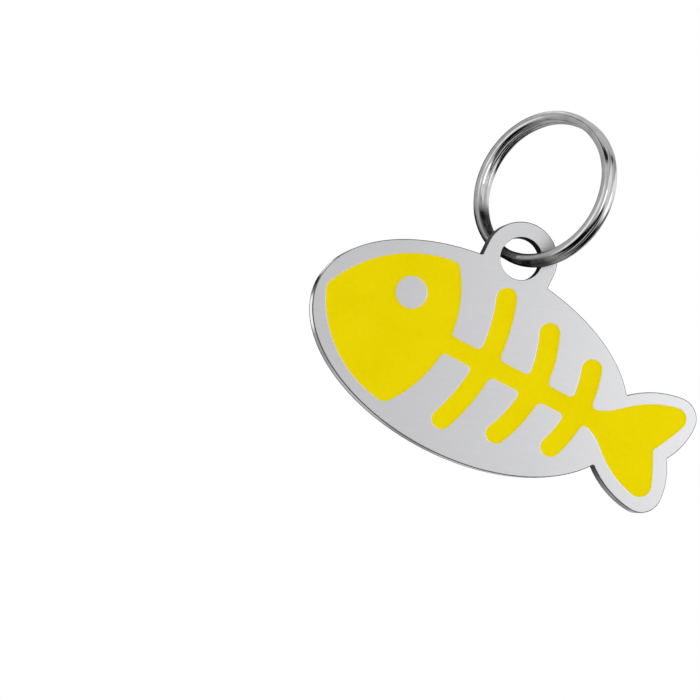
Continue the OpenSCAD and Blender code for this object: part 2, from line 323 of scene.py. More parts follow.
def pieceFrom(name, patches, materials, body, nodes, sharp=38, shade=None):
    # patches of (vertices on the plate, faces, material number) as one mesh in metres, its doubles merged,
    # with shade(vertices) as its painted shade
    starts = np.cumsum([0] + [len(p[0]) for p in patches[:-1]])
    faces = [f for p, s in zip(patches, starts) for f in (np.asarray(p[1]) + s).tolist()]
    mesh = bpy.data.meshes.new(name)
    mesh.from_pydata(np.vstack([hang(p[0]) for p in patches]).tolist(), [], faces)
    for material in materials:
        mesh.materials.append(material)
    mesh.polygons.foreach_set("material_index", np.concatenate([np.full(len(p[1]), p[2]) for p in patches]))
    work = bmesh.new()
    work.from_mesh(mesh)
    bmesh.ops.remove_doubles(work, verts=work.verts, dist=making["merge"])
    bmesh.ops.dissolve_degenerate(work, edges=work.edges, dist=making["sliver"])
    bmesh.ops.delete(work, geom=[v for v in work.verts if not v.link_faces], context="VERTS")
    openEdges = sum(1 for e in work.edges if len(e.link_faces) != 2)
    work.to_mesh(mesh)
    work.free()
    smoothShaded(mesh, sharp)
    if shade is not None:
        place = np.zeros(3 * len(mesh.vertices), np.float32)
        mesh.vertices.foreach_get("co", place)
        keepPaintedShade(mesh, shade(place.reshape(-1, 3)))
    print(f"{name}: {len(mesh.polygons)} faces, {openEdges} open edges")
    return standIn(name, mesh, body, nodes)


# Shader effects that more than one finish uses.

def setAndLink(tree, node, values):
    # a tuple of a node and a socket name is linked, anything else is set. A key is a socket's name or number,
    # such as a Mix node's 0 for the factor, 6 and 7 for colours, 2 and 3 for floats
    for key, value in values.items():
        if isinstance(value, tuple) and len(value) == 2 and hasattr(value[0], "outputs"):
            tree.links.new(value[0].outputs[value[1]], node.inputs[key])
        else:
            node.inputs[key].default_value = value


def nodeIn(tree, kind, label="", values=None, **settings):
    # a node with its settings, then its sockets' values
    made = tree.nodes.new(kind)
    made.label = label
    for key, value in settings.items():
        setattr(made, key, value)
    setAndLink(tree, made, values or {})
    return made


def mathIn(tree, operation, *values, label="", **settings):
    # the operation on numbers
    values = dict(enumerate(values))
    return nodeIn(tree, "ShaderNodeMath", label, values, operation=operation, **settings), "Value"


def vectorIn(tree, operation, *values, label="", gives="Vector"):
    # the operation on vectors; a length or a dot product gives a Value
    values = dict(enumerate(values))
    return nodeIn(tree, "ShaderNodeVectorMath", label, values, operation=operation), gives


def spanIn(tree, label, value, source, result=(0.0, 1.0), **settings):
    # the value carried from the span source to the span result
    values = {"Value": value, "From Min": source[0], "From Max": source[1],
              "To Min": result[0], "To Max": result[1]}
    return nodeIn(tree, "ShaderNodeMapRange", label, values, **settings), "Result"


def mixIn(tree, label, factor, under, over):
    # under (1 - factor) + over factor, for colours
    return nodeIn(tree, "ShaderNodeMix", label, {0: factor, 6: under, 7: over}, data_type="RGBA"), "Result"


def effectGroup(name, inputs, outputs):
    # an empty node group with named float or vector sockets
    group = bpy.data.node_groups.new(name, "ShaderNodeTree")
    kinds = {"value": "NodeSocketFloat", "vector": "NodeSocketVector"}
    for socket, (kind, start) in inputs.items():
        made = group.interface.new_socket(name=socket, in_out="INPUT", socket_type=kinds[kind])
        if start is not None:
            made.default_value = start
    for socket, kind in outputs.items():
        group.interface.new_socket(name=socket, in_out="OUTPUT", socket_type=kinds[kind])
    return group, nodeIn(group, "NodeGroupInput"), nodeIn(group, "NodeGroupOutput")


def makeGrainGroup():
    # noise drawn out along x for the lines, and a broad noise that makes them come and go
    group, given, out = effectGroup("polishLines", {
        "Vector": ("vector", None), "Fineness": ("value", 9000.0),
        "Length": ("value", 0.03), "Patches": ("value", 120.0)}, {"Lines": "value", "Patchy": "value"})
    stretch = nodeIn(group, "ShaderNodeCombineXYZ", "", {"X": (given, "Length"), "Y": 1.0, "Z": 1.0})
    longer = vectorIn(group, "MULTIPLY", (given, "Vector"), (stretch, "Vector"))
    lines = nodeIn(group, "ShaderNodeTexNoise", "fine lines", {
        "Vector": longer, "Scale": (given, "Fineness"), "Detail": 3.0, "Roughness": 0.65})
    broad = nodeIn(group, "ShaderNodeTexNoise", "patches", {
        "Vector": (given, "Vector"), "Scale": (given, "Patches"), "Detail": 2.0, "Roughness": 0.5})
    setAndLink(group, out, {"Lines": (lines, "Fac"), "Patchy": (broad, "Fac")})
    return group


def makeMarksGroup():
    # hairlines where a noise passes its middle value, kept where a second noise is high; pits at cell centres
    group, given, out = effectGroup("handlingMarks", {
        "Vector": ("vector", None), "Size": ("value", 300.0), "Amount": ("value", 0.5)},
        {"Hairlines": "value", "Pits": "value"})
    at, amount = {"Vector": (given, "Vector"), "Scale": (given, "Size")}, (given, "Amount")
    soft = {"interpolation_type": "SMOOTHSTEP"}
    drift = nodeIn(group, "ShaderNodeTexNoise", "where they run", {**at, "Detail": 1.0, "Distortion": 1.2})
    away = mathIn(group, "ABSOLUTE", mathIn(group, "SUBTRACT", (drift, "Fac"), 0.5))
    thin = spanIn(group, "thin line", away, (0.0, 0.012), (1.0, 0.0), **soft)
    patch = nodeIn(group, "ShaderNodeTexNoise", "where they gather", {**at, "Detail": 2.0, "Distortion": 0.4})
    few = spanIn(group, "few of them", (patch, "Fac"), (0.5, 0.62), **soft)
    cells = nodeIn(group, "ShaderNodeTexVoronoi", "pits", at)
    pit = spanIn(group, "round pit", (cells, "Distance"), (0.02, 0.11), (1.0, 0.0), **soft)
    hairlines = mathIn(group, "MULTIPLY", mathIn(group, "MULTIPLY", thin, few), amount)
    setAndLink(group, out, {"Hairlines": hairlines, "Pits": mathIn(group, "MULTIPLY", pit, amount)})
    return group


grainGroup, marksGroup = makeGrainGroup(), makeMarksGroup()
noiseSpan, sumSpan = (0.35, 0.65), (0.7, 1.3)  # where a noise, and the sum of two, mostly lie
markRoughness = 0.25  # how much rougher a hairline is


def finish(name, look, coordinates="Object", turn=0.0):
    # base colour and roughness swing with the lines, the patches and the marks; their height drives the bump.
    # With a shade tint, metal goes over to it, and reflects no more, where its mesh carries painted shade
    material = bpy.data.materials.new(name)
    material.use_nodes = True
    tree = material.node_tree
    shader = tree.nodes["Principled BSDF"]
    place = nodeIn(tree, "ShaderNodeTexCoord")
    mapped = nodeIn(tree, "ShaderNodeMapping", "along the polish", {
        "Vector": (place, coordinates), "Rotation": (0.0, turn, 0.0)})
    grain = nodeIn(tree, "ShaderNodeGroup", "polish lines", {
        "Vector": (mapped, "Vector"), "Fineness": look["fineness"], "Length": look["lineLength"],
        "Patches": look["patches"]}, node_tree=grainGroup)
    marks = nodeIn(tree, "ShaderNodeGroup", "marks", {
        "Vector": (mapped, "Vector"), "Size": look["markSize"],
        "Amount": look["marks"]}, node_tree=marksGroup)
    lines, patchy, hairlines = (grain, "Lines"), (grain, "Patchy"), (marks, "Hairlines")
    both = mathIn(tree, "ADD", lines, patchy, label="lines and patches")
    tone = spanIn(tree, "tone", both, sumSpan)
    colour = mixIn(tree, "colour", tone, (*look["dark"], 1), (*look["light"], 1))
    colour = mixIn(tree, "marks in the colour", hairlines, colour, (*look["markTint"], 1))
    roughSpan = (look["rough"] - look["roughSwing"], look["rough"] + look["roughSwing"])
    rough = spanIn(tree, "roughness", both, sumSpan, roughSpan)
    rough = mathIn(tree, "MULTIPLY_ADD", hairlines, markRoughness, rough, label="marks are rougher")
    height = mathIn(tree, "SUBTRACT", lines, hairlines, label="marks are cut in")
    height = mathIn(tree, "SUBTRACT", height, (marks, "Pits"), label="and pits")
    bump = nodeIn(tree, "ShaderNodeBump", "", {
        "Height": height, "Strength": look["bump"], "Distance": look["relief"] * millimetre})
    setAndLink(tree, shader, {"Base Color": colour, "Roughness": rough, "Normal": (bump, "Normal"),
                              "Metallic": look["metal"], **look.get("gloss", {})})
    # painted shade: the colour goes to the shade tint and the reflection fades where the mesh's shade
    # attribute is high
    if "shadeTint" in look:
        given = nodeIn(tree, "ShaderNodeAttribute", attribute_name="paintedShade")
        uneven = spanIn(tree, "uneven", patchy, noiseSpan, look["shadeSwing"])
        paintedShade = mathIn(tree, "MULTIPLY", (given, "Fac"), uneven, use_clamp=True)
        setAndLink(tree, shader, {
            "Base Color": mixIn(tree, "painted shade mix", paintedShade, colour, (*look["shadeTint"], 1)),
            "Metallic": mathIn(tree, "SUBTRACT", 1.0, paintedShade, label="bright metal left"),
            "Specular IOR Level": 0.0})
    return material


# The plate: steel finishes and outline.

plateLook = {
    "face": {"dark": (0.595, 0.597, 0.612), "light": (0.655, 0.656, 0.668), "markTint": (0.7, 0.7, 0.7),
             "metal": 1.0, "rough": 0.32, "roughSwing": 0.03,
             "fineness": 16000.0, "lineLength": 0.025, "patches": 90.0,
             "marks": 0.12, "markSize": 260.0, "bump": 0.06, "relief": 0.004},
    "edge": {"dark": (0.56, 0.56, 0.57), "light": (0.66, 0.66, 0.67), "markTint": (0.5, 0.5, 0.5),
             "metal": 1.0, "rough": 0.13, "roughSwing": 0.04,
             "fineness": 12000.0, "lineLength": 0.2, "patches": 200.0,
             "marks": 0.4, "markSize": 500.0, "bump": 0.2, "relief": 0.004,
             # the colour of the edge's painted shade, which darkens its inner corners, its hole and its rims
             "shadeTint": (0.035, 0.035, 0.038), "shadeSwing": (1.0, 1.0)},
}
edgeShade = {
    # painted shade on the edge: the inner corners, each with how far it is dark, and how dark the painted
    # shade makes them, the hole and the rolled rims
    "corners": [(-3.27, 9.1, 11.0), (3.6, 9.06, 5.0), (14.6, -3.4, 6.5), (14.6, 3.4, 4.0), (20.65, 0, 2.0)],
    "cornerShade": 0.9, "bore": 1.0, "rolled": 0.9,
    "lineFront": -0.62, "lineBack": 0.44, "lineSoft": 0.1,  # depths past which the rims' dark lines of painted shade start
    "nose": (-16.5, 3.0), "noseReach": 6.0, "noseLine": 0.12,
}
faceSteel = finish("satinSteel", plateLook["face"], turn=np.radians(hanging["tilt"]))
edgeSteel = finish("polishedEdge", plateLook["edge"])

frontY, backY = -plate["thick"] / 2, plate["thick"] / 2
plateLow = -np.array([plate["length"] / 2, plate["height"] / 2]) - plate["margin"] - plate["offRound"]
plateHigh = plate["margin"] + np.array([
    plate["length"] / 2 + plate["tailLength"], plate["holeZ"] + plate["holeRadius"] + plate["rim"]])
plateEdge = contourOf(plateField, plateLow, plateHigh, plate["pitch"])
atBore = boreField(*plateEdge["points"].T) > -plate["boreZone"]
plateEdge["share"] = np.where(atBore, plate["boreShare"], 1.0)[:, None]
print("plate outline:", len(plateEdge["points"]), "points")

# The coloured fishbone: head with a bare eye, backbone, three ribs and a tail fin.

bones = {
    "deep": 0.3, "low": 0.04, "meniscus": 0.16,  # pocket, filling below the face, rise at its edge
    "skinInsets": (0.06, 0.16, 0.32, 0.5),  # where the filling's own rows run
    "noseGap": 0.8, "crownGap": 1.9, "headRadius": 11.6, "headLength": 12.5, "gillRadius": 11.6,
    "headRound": 0.9, "eyeRadius": 1.5, "eyeBack": 5.1, "eyeUp": 2.9,
    "spine": 1.75, "rib": 1.9, "firstRib": 0.25, "ribPitch": 5.1, "up": 0.14, "slant": 2.4,
    "ribHeights": (0.685, 0.57, 0.44), "ribBows": (0.185, 0.22, 0.17),
    "finGap": 1.15, "finTip": 1.1, "finSide": 9.6, "finEnd": 24.0, "finNotch": 1.55, "finLength": 7.1,
    "headFillet": 0.45, "ribFillet": 0.6, "finFillet": 1.4,
    "rimRoll": 0.07, "rimDrop": 0.003,  # soft steel rim round the pocket,
    "rimRows": (0.5, 1.0, 2.0),  # and its rows as shares of it
    "window": ((-16.511, -8.507), (21.7, 8.6)),  # low and high corner of the grid
}


def boneShapes(b):
    # outlines and centre lines of the figure, from the circles that bound it
    noseX = b["noseGap"] - plate["length"] / 2
    drop = b["headRadius"] - plate["height"] / 2 + b["crownGap"]
    headX = noseX + np.sqrt(b["headRadius"] ** 2 - drop ** 2)
    gillX = noseX + b["headLength"]
    head = roundedBy([[gillX - b["gillRadius"], 0], [headX, -drop], [headX, drop]],
                     [b["gillRadius"], b["headRadius"], b["headRadius"]], b["headRound"])
    finFar = plate["length"] / 2 + plate["tailLength"] - b["finGap"]
    finTip = (finFar - b["finTip"], plate["tailSpan"] / 2 - b["finGap"] - b["finTip"])
    finRoot = (finFar - b["finLength"], b["spine"] / 2)
    fin = finOutline(finFar - b["finNotch"], finRoot, finTip, b["finTip"], b["finEnd"], b["finSide"])
    ribs = []
    for i, (share, bowShare) in enumerate(zip(b["ribHeights"], b["ribBows"])):
        half = share * plate["height"] / 2
        bow = bowShare * half
        r = (half ** 2 + bow ** 2) / (2 * bow)
        a = np.degrees(np.arcsin(half / r))
        ribs.append(arcPoints((b["firstRib"] + i * b["ribPitch"] + bow - r, 0), (r, r), -a, a))
    spine = np.array([[gillX - b["spine"], b["up"]], [finRoot[0] + b["spine"], b["up"]]])
    return {"head": head, "eye": (gillX - b["eyeBack"], b["eyeUp"]), "spine": spine, "ribs": ribs, "fin": fin}


boneParts = boneShapes(bones)


def boneField(x, z):
    # head, spine, ribs and fin blended one after the other, less the eye
    b, parts = bones, boneParts
    lean = np.tan(np.radians(b["slant"]))
    body = blended(outlineField(x - z * lean, z, parts["head"]),
                   pathField(x, z, parts["spine"]) - b["spine"] / 2, b["headFillet"])
    xs, zs = x - (z - b["up"]) * lean, z - b["up"]
    for rib in parts["ribs"]:
        body = blended(body, pathField(xs, zs, rib) - b["rib"] / 2, b["ribFillet"])
    body = blended(body, outlineField(xs, zs, parts["fin"]), b["finFillet"])
    return np.maximum(body, b["eyeRadius"] - np.hypot(x - parts["eye"][0], z - parts["eye"][1]))


boneEdge = contourOf(boneField, *bones["window"], plate["pitch"])
print("fishbone outline:", len(boneEdge["points"]), "points")

# The row of digits on the back.

digits = {
    "height": 3.4, "width": 1.95, "pitch": 2.55, "line": 0.45, "deep": 0.25, "low": 0.04,
    "middle": 1.15, "foot": -1.0, "rise": 1.8, "grid": 0.05, "fillet": 0.08, "bowSteps": 33,
    "meniscus": 0.06, "skinInsets": (0.05,),
    "near": 0.6, "far": 1.0, "away": 9.0,  # a stroke counts within near, and no place is past far
    "window": ((-13.211, -2.007), (15.6, 3.9)),  # low and high corner of the grid
    # strokes as shares of the line's width and height: four numbers are a bar from end to end, six are a bow
    # of centre, half width, half height, start and end in degrees
    "strokes": [
        [[0.5, 0.5, 0.5, 0.5, 0, 360]],
        [[0.5, 0, 0.5, 1], [0.5, 1, 0.12, 0.78]],
        [[0.5, 0.72, 0.5, 0.28, -28, 165], [0.94, 0.59, 0, 0], [0, 0, 1, 0]],
        [[0.44, 0.765, 0.44, 0.235, -90, 150], [0.45, 0.265, 0.55, 0.265, -150, 90]],
        [[0.74, 0, 0.74, 1], [0.74, 1, 0, 0.3], [0, 0.3, 1, 0.3]],
        [[0.92, 1, 0.14, 1], [0.14, 1, 0.06, 0.56], [0.45, 0.32, 0.55, 0.32, -145, 128]],
        [[0.5, 0.3, 0.5, 0.3, 0, 360], [1, 0.32, 1, 0.68, 100, 182]],
        [[0, 1, 1, 1], [1, 1, 0.36, 0]],
        [[0.5, 0.265, 0.5, 0.265, 0, 360], [0.5, 0.765, 0.43, 0.235, 0, 360]],
        [[0.5, 0.7, 0.5, 0.3, 0, 360], [0, 0.68, 1, 0.68, -80, 2]],
    ],
}


def digitPaths(d):
    # every stroke as a path on the row's own line, x to the right as it is read
    size = np.array([d["width"], d["height"]]) - d["line"]
    count, paths = len(d["strokes"]), []
    for n, strokes in enumerate(d["strokes"]):
        corner = np.array([(n - count / 2) * d["pitch"] + (d["pitch"] - d["width"]) / 2, 0]) + d["line"] / 2
        for s in strokes:
            if len(s) == 4:
                paths.append(corner + np.array(s, float).reshape(2, 2) * size)
            else:
                centre, radii = corner + np.array(s[:2]) * size, np.array(s[2:4]) * size
                paths.append(arcPoints(centre, radii, s[4], s[5], d["bowSteps"]))
    return paths


strokePaths = digitPaths(digits)


def digitField(x, z):
    # distance to the strokes less half the line, blended, on the row turned by its rise and read from behind
    d = digits
    a = np.radians(d["rise"])
    u, v = -x + d["middle"], z - d["foot"]
    u, v = u * np.cos(a) + v * np.sin(a), -u * np.sin(a) + v * np.cos(a)
    best = np.full(np.shape(x), d["away"])
    for path in strokePaths:
        near = (u > path[:, 0].min() - d["near"]) & (u < path[:, 0].max() + d["near"])
        if near.any():
            stroke = pathField(u[near], v[near], path) - d["line"] / 2
            best[near] = blended(best[near], stroke, d["fillet"])
    return np.minimum(best, d["far"])


digitEdge = contourOf(digitField, *digits["window"], digits["grid"])
print("digits:", len(digitEdge["points"]), "points")

# The plate's mesh: rolled outer edge, front layer round the pocket, back layer round the digits.

roll = plate["edgeRound"]
rollAngles = np.radians(np.linspace(0, 90, plate["roundSteps"]))
frontRoll = [(roll * (1 - np.sin(a)), frontY + roll * (1 - np.cos(a))) for a in rollAngles]
plateRows = frontRoll + [(0, y) for y in plate["wallStops"]] + [(offset, -y) for offset, y in frontRoll[::-1]]


def onFace(x, z):
    # inside the flat face: within the rolled edges of the blank and of the hole
    slack = roll / 4  # the edges' own points count as inside
    return (blankField(x, z) < slack - roll) & (boreField(x, z) < (slack - roll) * plate["boreShare"])


def steelFront(x, z):
    # front + drop (1 - f / roll)^2 where 0 < f < roll: the steel dips softly towards the pocket
    return frontY + bones["rimDrop"] * np.clip(1 - boneField(x, z) / bones["rimRoll"], 0, 1) ** 2


faceEdges = [insetOf(plateEdge, roll), insetOf(plateEdge, roll + plate["guard"])]
rimEdges = [insetOf(boneEdge, -share * bones["rimRoll"]) for share in bones["rimRows"]]
frontLayer = layerOf(faceEdges + [boneEdge] + rimEdges,
                     lambda x, z: onFace(x, z) & (boneField(x, z) > 0), steelFront)
backLayer = layerOf(faceEdges + [digitEdge],
                    lambda x, z: onFace(x, z) & (digitField(x, z) > 0), level(backY), facing=1)
boneWall = wallOf(boneEdge, [(0, frontY + bones["rimDrop"]), (0, frontY + bones["deep"])], facing=-1)
boneFloor = layerOf([boneEdge], within(boneField), level(frontY + bones["deep"]))
digitWall = wallOf(digitEdge, [(0, backY - digits["deep"]), (0, backY)], facing=-1)
digitFloor = layerOf([digitEdge], within(digitField), level(backY - digits["deep"]), facing=1)
platePatches = [  # 0 is the satin face, 1 the polished edge
    (*wallOf(plateEdge, plateRows), 1), (*frontLayer, 0), (*backLayer, 0),
    (*boneWall, 1), (*boneFloor, 1), (*digitWall, 1), (*digitFloor, 1)]


def paintedEdgeShade(points):
    # painted shade: bore in the hole, else the most of cornerShade (1 - smooth(distance / reach)) at the
    # inner corners and a dark line along both rims, which is fainter round the nose
    x, y, z = unhang(points).T
    e = edgeShade
    paintedShade = np.zeros(len(x))
    for cornerX, cornerZ, reach in e["corners"]:
        paintedShade = np.maximum(paintedShade, e["cornerShade"] * (1 - smooth(0, reach, np.hypot(x - cornerX, z - cornerZ))))
    # painted shade: a dark line along both rims
    line = np.clip(np.maximum(e["lineFront"] - y, y - e["lineBack"]) / e["lineSoft"], 0, 1)
    fromNose = np.hypot(x - e["nose"][0], z - e["nose"][1])
    rolled = e["noseLine"] + (e["rolled"] - e["noseLine"]) * smooth(0, e["noseReach"], fromNose)
    atBore = boreField(x, z) > -roll * plate["boreShare"] / 2
    return np.where(atBore, e["bore"], np.maximum(rolled * line, paintedShade))


# the polished edge carries painted shade at its inner corners, in the hole and along its rims
pieceFrom("fishPlate", platePatches, [faceSteel, edgeSteel],
          "tag", ["tag_plate"], shade=paintedEdgeShade)

# The fillings.

fillLook = {
    "enamel": {"dark": (0.81, 0.645, 0.001), "light": (0.85, 0.69, 0.002), "markTint": (0.84, 0.72, 0.05),
               "metal": 0.0, "rough": 0.42, "roughSwing": 0.06,
               "fineness": 2600.0, "lineLength": 0.8, "patches": 260.0,
               "marks": 0.15, "markSize": 420.0, "bump": 0.3, "relief": 0.006,
               "gloss": {"Specular IOR Level": 0.12, "Specular Tint": (1.0, 0.85, 0.02, 1.0)}},
    "black": {"dark": (0.006, 0.006, 0.007), "light": (0.022, 0.022, 0.024), "markTint": (0.05, 0.05, 0.05),
              "metal": 0.0, "rough": 0.5, "roughSwing": 0.12,
              "fineness": 5200.0, "lineLength": 0.9, "patches": 800.0,
              "marks": 0.3, "markSize": 900.0, "bump": 0.4, "relief": 0.006,
              "gloss": {"Specular IOR Level": 0.3}},
}
enamel = finish("yellowEnamel", fillLook["enamel"])
blackFill = finish("blackInfill", fillLook["black"])
clear = 0.004  # keeps a filling's floor off the pocket's
edgeSunk = 0.2  # share of its lowness that it has at its edge


def fillingOf(edge, field, face, piece):
    # a skin low by low (1 - (1 - edgeSunk) exp(f / meniscus)), a floor over the pocket's own, and the wall
    # between them; a face below 0 is the front
    side = 1 if face < 0 else -1
    low, floorY = side * piece["low"], face + side * (piece["deep"] - clear)

    def sunk(x, z):
        return face + low * (1 - (1 - edgeSunk) * np.exp(np.minimum(field(x, z), 0) / piece["meniscus"]))

    skinEdges = [edge] + [insetOf(edge, inset) for inset in piece["skinInsets"]]
    skin = layerOf(skinEdges, within(field), sunk, facing=-side)
    floor = layerOf([edge], within(field), level(floorY), facing=side)
    rows = [(0, face + low * edgeSunk), (0, floorY)]
    return [(*skin, 0), (*floor, 0), (*wallOf(edge, rows[::side]), 0)]


enamelPiece = pieceFrom("fishboneEnamel", fillingOf(boneEdge, boneField, frontY, bones),
                        [enamel], "tag", ["fishbone_enamel"])
enamelPiece.visible_glossy = False  # the bright ring shows none of its yellow
pieceFrom("digitInfill", fillingOf(digitEdge, digitField, backY, digits),
          [blackFill], "tag", ["engraved_digits"])

# The split ring: one wire in two turns, with one cross-over and two cut ends.

ring = {
    "outside": 15.0, "wireRadial": 1.0, "wireAxial": 0.87, "turnPitch": 0.87, "yaw": 41.5,
    "crossAt": -23.5, "crossHalf": 9.5, "square": 2.25,  # 2 is a round section, more is squarer
    "stations": 620, "sides": 64, "sharp": 50,
    "endRound": 0.1, "endRows": (0, 0.08, 0.3, 0.62),  # rounded cut ends, and their rows as shares of it
    # drawn lines: how many round the wire, height, turns over its length, and start
    "dieLines": [(7, 0.006, 3.0, 0.4), (11, 0.003, -5.0, 2.1)],
    "mapLong": 0.0865, "mapRound": 0.003,  # metres of its UV map along and round the wire
}
ringLook = {"dark": (0.58, 0.58, 0.59), "light": (0.86, 0.86, 0.865), "markTint": (0.4, 0.4, 0.4),
            "metal": 1.0, "rough": 0.05, "roughSwing": 0.02,
            "fineness": 4200.0, "lineLength": 0.012, "patches": 900.0,
            "marks": 0.1, "markSize": 300.0, "bump": 1.0, "relief": 0.01,
            # the colour of the wire's painted shade in the plate's eye, with a blotchy swing
            "shadeTint": (0.012, 0.012, 0.013), "shadeSwing": (0.9, 1.06)}
# Painted shade on the wire where it runs in the plate's eye, least along a line that a reflection of the
# light above keeps bright: degrees round the ring from its bottom, and round the wire from its outer side
# towards its front.
ringShade = {"from": -72.0, "full": -55.0, "fades": 20.0, "ends": 44.0, "most": 1.0,
            "litLineAt": 95.0, "litLineHalf": 38.0, "litLine": 0.8}


def wireStations(r, midRadius):
    # degrees along the wire from one cut end to the other, and how much the section shrinks at each of them:
    # e (1 - sqrt(1 - (1 - s)^2)) at the share s of an end's rounding e
    first, last = r["crossAt"] + r["crossHalf"], r["crossAt"] + 720 - r["crossHalf"]
    shares, roundOff = np.array(r["endRows"]), np.degrees(r["endRound"] / midRadius)
    middle = np.linspace(first + roundOff, last - roundOff, r["stations"])
    a = np.concatenate([first + roundOff * shares, middle, (last - roundOff * shares)[::-1]])
    shrink = r["endRound"] * (1 - np.sqrt(1 - (1 - shares) ** 2))
    return a, np.concatenate([shrink, np.zeros(r["stations"]), shrink[::-1]])[:, None]


def ringWire(r):
    # out from the ring's axis by R + (w/2 - shrink) C(cos b), along it by side(a) + (t/2 - shrink) C(sin b),
    # a along the wire and b round it; C(q) = sign(q) |q|^power makes the section a little square
    midRadius = (r["outside"] - r["wireRadial"]) / 2
    a, shrink = wireStations(r, midRadius)
    crossing = smooth(r["crossAt"] + 360 - r["crossHalf"], r["crossAt"] + 360 + r["crossHalf"], a)
    side = (crossing - 0.5)[:, None] * r["turnPitch"]
    a, b = np.radians(a)[:, None], np.radians(np.arange(r["sides"]) * 360 / r["sides"])[None, :]
    power = 2 / r["square"]
    share = (a - a[0]) / (a[-1] - a[0]) * 2 * np.pi
    lines = sum(h * (np.cos(n * b + turns * share + start) - 1) for n, h, turns, start in r["dieLines"])
    out = midRadius + (r["wireRadial"] / 2 - shrink + lines) * np.sign(np.cos(b)) * np.abs(np.cos(b)) ** power
    along = side + (r["wireAxial"] / 2 - shrink + lines) * np.sign(np.sin(b)) * np.abs(np.sin(b)) ** power
    grid = np.stack([out * np.sin(a), along, -out * np.cos(a)], axis=-1)
    y = np.radians(r["yaw"] - 90)
    turnZ = np.array([[np.cos(y), -np.sin(y), 0], [np.sin(y), np.cos(y), 0], [0, 0, 1]])
    inner = r["outside"] / 2 - r["wireRadial"]
    verts = np.vstack([grid.reshape(-1, 3), grid[[0, -1]].mean(axis=1)]) @ turnZ.T - [0, 0, inner]
    # painted shade on the wire, one number for each vertex
    wireShade = np.append(wireShadeOf(np.degrees(a), -np.degrees(b)).ravel(), [0, 0])
    return metres(verts), len(grid), wireShade


def tubeFaces(rows, n):
    # quads between neighbouring rows of n points, and a fan of triangles from each end to its middle point
    i, k = np.meshgrid(np.arange(rows - 1), np.arange(n), indexing="ij")
    m = (k + 1) % n
    quads = np.stack([i * n + k, i * n + m, i * n + n + m, i * n + n + k], axis=-1).reshape(-1, 4)
    k, m, last = k[0], m[0], (rows - 1) * n
    firstCap = np.stack([np.full(n, rows * n), m, k], axis=-1)
    lastCap = np.stack([np.full(n, rows * n + 1), last + k, last + m], axis=-1)
    return quads, np.vstack([firstCap, lastCap])


def wireShadeOf(a, b):
    # painted shade: most * rise * (1 - fall) by the angle a round the ring, less by litLine where b is near
    # that lit line
    w = ringShade
    a = (a + 180) % 360 - 180
    off = np.abs((b - w["litLineAt"] + 180) % 360 - 180)
    darkened = w["most"] * smooth(w["from"], w["full"], a) * (1 - smooth(w["fades"], w["ends"], a))
    return darkened * (1 - w["litLine"] * (1 - smooth(0, w["litLineHalf"], off)))


def wirePiece(r):
    # the tube and its caps, with a UV map of (mapLong row / rows, mapRound point / sides)
    verts, rows, wireShade = ringWire(r)
    quads, caps = tubeFaces(rows, r["sides"])
    mesh = bpy.data.meshes.new("splitRing")
    mesh.from_pydata(verts.tolist(), [], quads.tolist() + caps.tolist())
    smoothShaded(mesh, r["sharp"])
    corner = np.zeros(len(mesh.loops), int)
    mesh.loops.foreach_get("vertex_index", corner)
    along, around = np.minimum(corner // r["sides"], rows - 1), corner % r["sides"]
    turn = np.arange(len(corner))  # a quad's corners 1 and 2 lie one point further
    wraps = (turn < quads.size) & (turn % 4 > 0) & (turn % 4 < 3) & (around == 0)
    around = np.where(wraps, r["sides"], around)
    uv = np.column_stack([along * r["mapLong"] / rows, around * r["mapRound"] / r["sides"]])
    mesh.uv_layers.new(name="alongWire").data.foreach_set("uv", uv.astype(np.float32).ravel())
    keepPaintedShade(mesh, wireShade)
    mesh.materials.append(chrome)
    print("splitRing:", len(mesh.polygons), "faces")
    standIn("splitRing", mesh, "ring", ["split_ring"])


chrome = finish("chromeWire", ringLook, coordinates="UV")
wirePiece(ring)

# Floor, light and camera.

